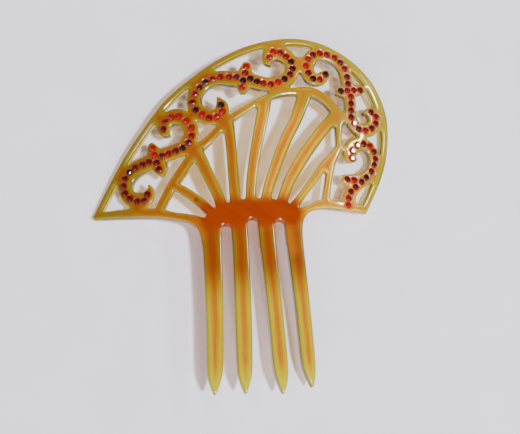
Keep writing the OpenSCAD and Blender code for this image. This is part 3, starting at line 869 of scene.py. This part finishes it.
flat, verts, inset, sawn, faces = sheet_mesh()
comb = mesh_object("comb_sheet", verts, faces, True, marks(flat, inset, sawn))
comb.data.materials.append(celluloid())
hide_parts("comb_body")
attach(comb, "root")
GROUND = float(verts[:, 2].min())                   # where the comb's rounded corners rest

# ---- stones, foils and cement ----


def local_frame(at):
    """A stone's own axes on the bent sheet: across, along and out of it."""
    u, v = at
    c = bent(u, v, 0.0)
    x = bent(u + 0.01, v, 0.0) - c
    x /= np.linalg.norm(x)
    z = bent(u, v, 1.0) - c
    z /= np.linalg.norm(z)
    return c, np.stack([x, np.cross(z, x), z])


def cut_stone(turn):
    """A round stone with a flat table, 32 crown facets and a cone of 16 facets below."""
    def circle(n, r, z, off=0.0):
        return [(r * math.cos(a), r * math.sin(a), z) for a in
            (turn + 2 * math.pi * (i + off) / n for i in range(n))]
    p = circle(8, TABLE_R, CROWN_H) + circle(8, STAR_R, STAR_H, 0.5)
    p += circle(16, STONE_R, RIM_H) + circle(16, STONE_R, -GIRDLE_H)
    p += circle(16, POINT_R, -GIRDLE_H - BACK_H)
    f = [list(range(8)), list(range(63, 47, -1))]
    for k in range(8):
        n, m = (k + 1) % 8, (k - 1) % 8
        g = 16 + 2 * k
        f.append([k, 8 + k, n])                                          # star facets
        f.append([k, 8 + m, g])                                          # main facets
        f.append([k, g, 8 + k])
        f.append([8 + k, g, g + 1])                                      # girdle facets
        f.append([8 + k, g + 1, 16 + (2 * k + 2) % 16])
    for k in range(16):
        n = (k + 1) % 16
        f.append([16 + k, 32 + k, 32 + n, 16 + n])
        f.append([32 + k, 48 + k, 48 + n, 32 + n])
    return np.array(p), f


def lathe(profile, n=24):
    """A closed solid of revolution. The profile starts and ends on the axis, top first."""
    p, f, rows = [], [], []
    for r, z in profile:
        if r == 0:
            rows.append([len(p)] * n)
            p.append((0, 0, z))
        else:
            rows.append(list(range(len(p), len(p) + n)))
            p += [(r * math.cos(2 * math.pi * i / n), r * math.sin(2 * math.pi * i / n), z) for i in range(n)]
    for a, b in zip(rows, rows[1:]):
        for i in range(n):
            j = (i + 1) % n
            face = list(dict.fromkeys([a[i], b[i], b[j], a[j]]))
            if len(face) > 2:
                f.append(face)
    return np.array(p), f


CUP_TOP, CUP_LOW = -GIRDLE_H, -GIRDLE_H - BACK_H
FOIL = [(0, CUP_LOW), (POINT_R, CUP_LOW), (STONE_R, CUP_TOP), (STONE_R, CUP_TOP - FOIL_T),
    (POINT_R, CUP_LOW - FOIL_T), (0, CUP_LOW - FOIL_T)]
GLUE = [(0, CUP_LOW - FOIL_T), (POINT_R, CUP_LOW - FOIL_T), (STONE_R, CUP_TOP - FOIL_T),
    (GLUE_R, CUP_LOW - FOIL_T), (GLUE_R, CUP_LOW - FOIL_T - GLUE_H), (0, CUP_LOW - FOIL_T - GLUE_H)]

# Leans of a few stones, in degrees across and along: part, scroll and place in its row, from 0
TILTS = {("tail", 2, 3): (-0.5, 0.5), ("tail", 2, 4): (0.6, -1.0), ("tail", 2, 5): (1.0, 0.7),
    ("head", 3, 0): (0, 0.6), ("head", 3, 1): (0, 0.3), ("head", 3, 2): (-0.8, 0.3),
    ("head", 3, 3): (0.3, -0.3), ("bar", 3, 0): (-1.0, -0.8), ("tail", 3, 2): (-1.0, -1.0)}


def leaning(axes, across, along):
    """A stone's axes after it leans by two small angles in degrees."""
    out = axes[2] + axes[0] * math.radians(across) + axes[1] * math.radians(along)
    out /= np.linalg.norm(out)
    side = np.cross(axes[1], out)
    side /= np.linalg.norm(side)
    return np.stack([side, np.cross(out, side), out])


def stone_row(part, scroll, make):
    """Points, faces and tones of one kind of piece at each stone of a row."""
    verts, faces, tones = [], [], []
    for k, at in enumerate(stone_places(STONES[part][scroll])):
        c, axes = local_frame(at)
        p, f, lean = make((part, scroll, k))
        first = len(verts)
        verts += list(c + (p @ leaning(axes, *lean)) * MM)
        faces += [[i + first for i in face] for face in f]
        tones += [TONE[TONES[part][scroll][k]]] * len(p)
    return verts, faces, tones


SEED, LEAN_SPREAD = 7, 0.7                          # the other stones lean by chance, in degrees
dice = np.random.default_rng(SEED)


def make_stone(key):
    p, f = cut_stone(dice.uniform(0, math.pi / 4))
    chance = dice.normal(0, LEAN_SPREAD, 2)
    return p, f, TILTS.get(key, chance)


def make_foil(key):
    return *lathe(FOIL), (0, 0)


def make_glue(key):
    return *lathe(GLUE), (0, 0)


glass, foil, glue = red_glass(), foil_metal(), old_cement()
KINDS = (("gem", "stones", "red_stone", glass, make_stone, False),
    ("cup", "foils", "foil", foil, make_foil, True),
    ("glue", "cement", "cement", glue, make_glue, False))
for part, rows in STONES.items():
    for s in range(len(rows)):
        for prefix, kind, slot, material, make, soft in KINDS:
            verts, faces, tones = stone_row(part, s, make)
            ob = mesh_object(f"{prefix}_{s + 1}_{part}", verts, faces, soft, {"tone": tones})
            ob.data.materials.append(material)
            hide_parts(f"{kind}_scroll_{s + 1}_{part}")
            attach(ob, "root")

# ---- floor and light ----

bpy.ops.mesh.primitive_plane_add(size=3, location=(0, 0, GROUND))
floor = bpy.context.object
floor.name = "floor"
floor.data.materials.append(cloth())

GLINT = (0.585, 0.165, 0.58)                        # mirrored in a few stones at the right


def lamp(name, at, size, power, colour=(1, 1, 1), aim=(0, 0, 0)):
    data = bpy.data.lights.new(name, "AREA")
    data.shape = "DISK"
    data.size = size
    data.energy = power
    data.color = colour
    ob = bpy.data.objects.new(name, data)
    ob.location = at
    ob.rotation_euler = (Vector(at) - Vector(aim)).to_track_quat("Z", "Y").to_euler()
    bpy.context.scene.collection.objects.link(ob)


def sun(name, way, strength, spread, colour):
    data = bpy.data.lights.new(name, "SUN")
    data.energy = strength
    data.angle = math.radians(spread)
    data.color = colour
    ob = bpy.data.objects.new(name, data)
    ob.rotation_euler = Vector(way).to_track_quat("Z", "Y").to_euler()
    bpy.context.scene.collection.objects.link(ob)


sun("key", (0.30, -0.27, 0.91), 4.6, 6, (1, 0.97, 0.94))
sun("fill", (-0.45, -0.68, 0.58), 1.3, 50, (0.97, 0.97, 1))
lamp("right", (0.40, -0.34, 0.40), 0.12, 0.9, (1, 0.97, 0.95))
lamp("glint", GLINT, 0.065, 1.5, (1, 0.98, 0.96), (0.04, 0.02, 0.01))

world = bpy.data.worlds.new("world")
world.use_nodes = True
nt = world.node_tree
sky = nt.nodes["Background"]
sky.inputs[0].default_value = (0.88, 0.88, 1.0, 1)
sky.inputs[1].default_value = 0.16
pale = nt.nodes.new("ShaderNodeBackground")         # what shows beyond the floor's far edge
pale.inputs[0].default_value = (0.92, 0.90, 1.0, 1)
pale.inputs[1].default_value = 1.1
both = nt.nodes.new("ShaderNodeMixShader")
nt.links.new(nt.nodes.new("ShaderNodeLightPath").outputs["Is Camera Ray"], both.inputs[0])
nt.links.new(sky.outputs[0], both.inputs[1])
nt.links.new(pale.outputs[0], both.inputs[2])
nt.links.new(both.outputs[0], nt.nodes["World Output"].inputs[0])
bpy.context.scene.world = world
